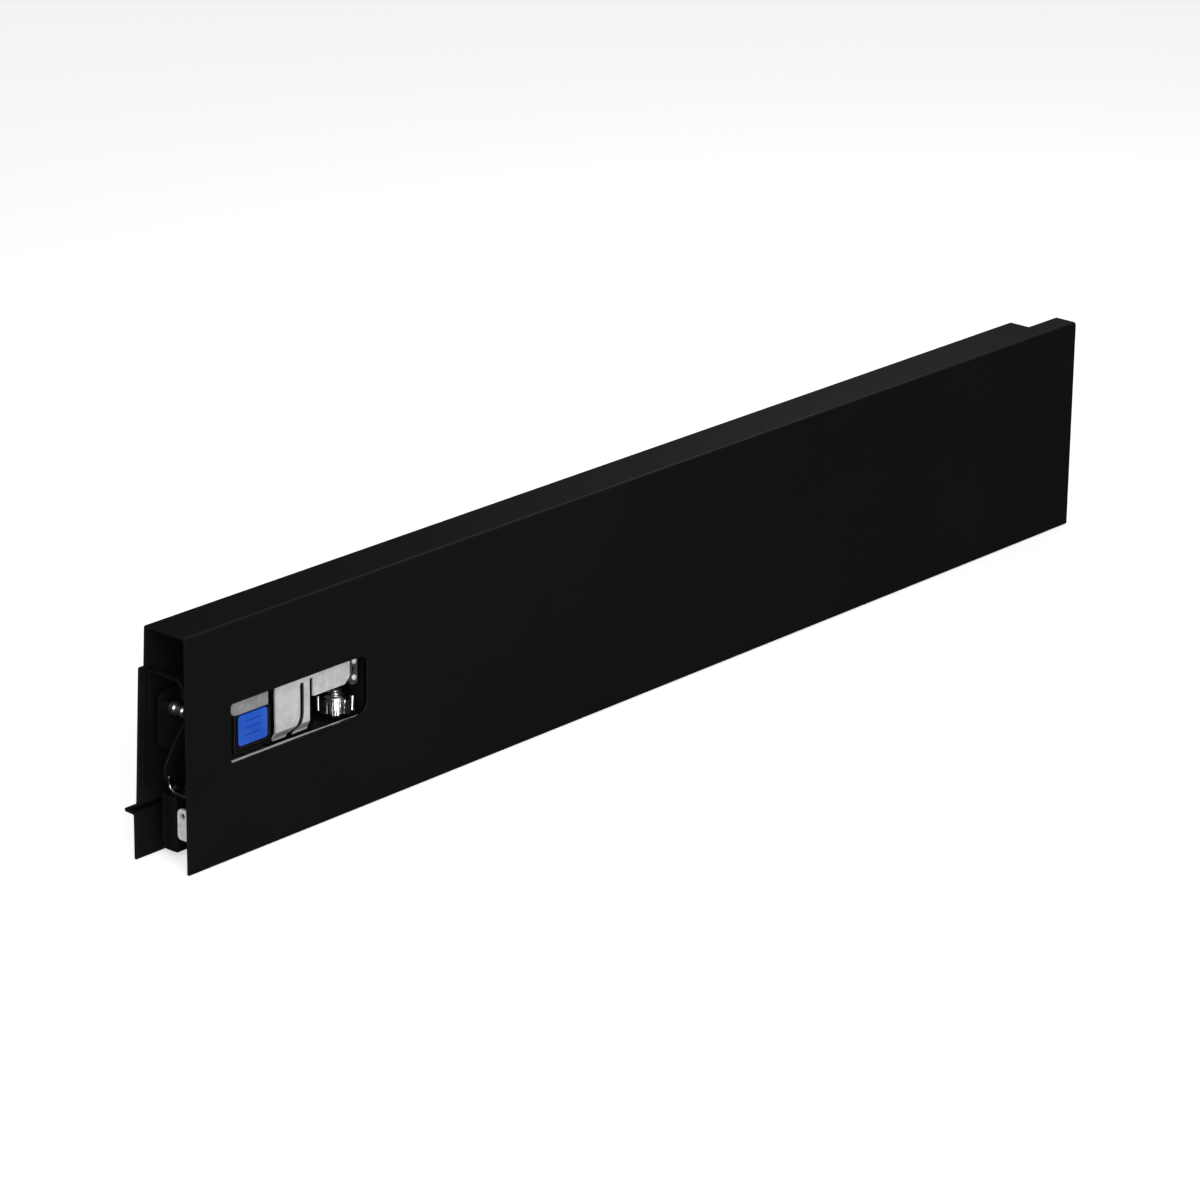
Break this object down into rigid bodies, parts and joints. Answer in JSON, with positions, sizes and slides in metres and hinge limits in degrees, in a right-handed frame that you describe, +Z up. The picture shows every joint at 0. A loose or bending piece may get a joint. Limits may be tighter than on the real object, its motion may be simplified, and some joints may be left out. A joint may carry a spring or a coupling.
{
  "type": "drawer side with concealed runner",
  "caption": "Black double-walled drawer side on a concealed ball runner, with a front window showing the button-released panel catch and its height adjuster.",
  "frame": {"origin": "bottom centre of the bounding box of the closed assembly, on the surface that the cabinet rail is screwed to", "axes": "+X from the front end to the rear end, +Y from the flat outer wall towards the inside of the drawer, +Z up"},
  "size_m": [0.5024, 0.0288, 0.087],
  "materials": {
    "powder_coat": "fine-textured satin black powder coat",
    "zinc": "galvanised, satin",
    "dark_zinc": "dull zinc, satin",
    "bright_steel": "bright nickel-plated",
    "black_plastic": "moulded, satin",
    "blue_plastic": "moulded, satin",
    "cage_plastic": "moulded natural nylon"
  },
  "bodies": {
    "cabinet_rail": {"cabinet_rail": "zinc", "cabinet_rear_stop": "black_plastic"},
    "middle_rail": {"middle_rail": "zinc", "middle_rail_front_buffer": "black_plastic", "middle_rail_rear_buffer": "black_plastic"},
    "lower_cage": {"lower_ball_cage": "cage_plastic", "lower_ball_under_near_front": "bright_steel", "lower_ball_under_near_rear": "bright_steel", "lower_ball_under_far_front": "bright_steel", "lower_ball_under_far_rear": "bright_steel", "lower_ball_over_near_front": "bright_steel", "lower_ball_over_near_rear": "bright_steel", "lower_ball_over_far_front": "bright_steel", "lower_ball_over_far_rear": "bright_steel"},
    "upper_cage": {"upper_ball_cage": "cage_plastic", "upper_ball_under_near_front": "bright_steel", "upper_ball_under_near_rear": "bright_steel", "upper_ball_under_far_front": "bright_steel", "upper_ball_under_far_rear": "bright_steel", "upper_ball_over_near_front": "bright_steel", "upper_ball_over_near_rear": "bright_steel", "upper_ball_over_far_front": "bright_steel", "upper_ball_over_far_rear": "bright_steel"},
    "drawer_side": {"side_profile": "powder_coat", "rear_bracket": "zinc", "rear_rivet_lower": "dark_zinc", "rear_rivet_upper": "dark_zinc", "rail_saddle_front": "zinc", "rail_saddle_rear": "zinc", "drawer_rail": "zinc", "runner_front_block": "black_plastic", "front_catch_plate": "zinc", "catch_plate_rivet_front": "bright_steel", "catch_plate_rivet_rear": "bright_steel", "front_housing": "black_plastic", "fixing_plate": "powder_coat", "fixing_tray": "zinc", "wheel_cradle": "black_plastic", "guide_bar": "dark_zinc", "guide_rivet_upper": "dark_zinc", "guide_rivet_lower": "dark_zinc", "button_frame": "black_plastic", "retainer_plate": "dark_zinc", "button_spring": "bright_steel"},
    "adjuster": {"adjuster_wheel": "bright_steel", "adjuster_spindle": "bright_steel"},
    "carriage": {"height_carriage": "zinc", "catch_carrier": "powder_coat", "carrier_rivet_front": "dark_zinc", "carrier_rivet_rear": "dark_zinc", "spindle_nut": "zinc", "upper_catch_pin": "bright_steel", "lever_pivot_pin": "bright_steel", "catch_spring": "bright_steel"},
    "catch": {"catch_lever": "powder_coat", "catch_hook": "bright_steel"},
    "button": {"release_button": "blue_plastic"}
  },
  "joints": [
    {"name": "drawer_slide", "type": "slide", "parent": "cabinet_rail", "child": "drawer_side", "axis": [-1, 0, 0], "range_m": [0, 0.43]},
    {"name": "middle_rail_slide", "type": "slide", "parent": "cabinet_rail", "child": "middle_rail", "axis": [-1, 0, 0], "range_m": [0, 0.2151]},
    {"name": "lower_cage_slide", "type": "slide", "parent": "cabinet_rail", "child": "lower_cage", "axis": [-1, 0, 0], "range_m": [0, 0.1076]},
    {"name": "upper_cage_slide", "type": "slide", "parent": "cabinet_rail", "child": "upper_cage", "axis": [-1, 0, 0], "range_m": [0, 0.3226]},
    {"name": "wheel_turn", "type": "hinge", "parent": "drawer_side", "child": "adjuster", "pos_m": [-0.16835, -0.0054, 0.039], "axis": [0, 0, 1], "range_deg": [-721, 721]},
    {"name": "height_slide", "type": "slide", "parent": "drawer_side", "child": "carriage", "axis": [0, 0, 1], "range_m": [-0.002, 0.002]},
    {"name": "button_press", "type": "slide", "parent": "drawer_side", "child": "button", "axis": [0, 1, 0], "range_m": [0, 0.002], "stiffness_N_per_m": 1500, "springref_m": -0.0006, "deforming": ["button_spring"]},
    {"name": "catch_turn", "type": "hinge", "parent": "carriage", "child": "catch", "pos_m": [-0.23075, 0.0016, 0.046], "axis": [0, 1, 0], "range_deg": [0, 8.1]}
  ],
  "couplings": [
    {"joint": "middle_rail_slide", "follows": "drawer_slide", "ratio": 0.5},
    {"joint": "lower_cage_slide", "follows": "drawer_slide", "ratio": 0.25},
    {"joint": "upper_cage_slide", "follows": "drawer_slide", "ratio": 0.75},
    {"joint": "wheel_turn", "follows": "height_slide", "rad_per_m": 6283.2},
    {"joint": "catch_turn", "follows": "button_press", "rad_per_m": 69.8}
  ]
}
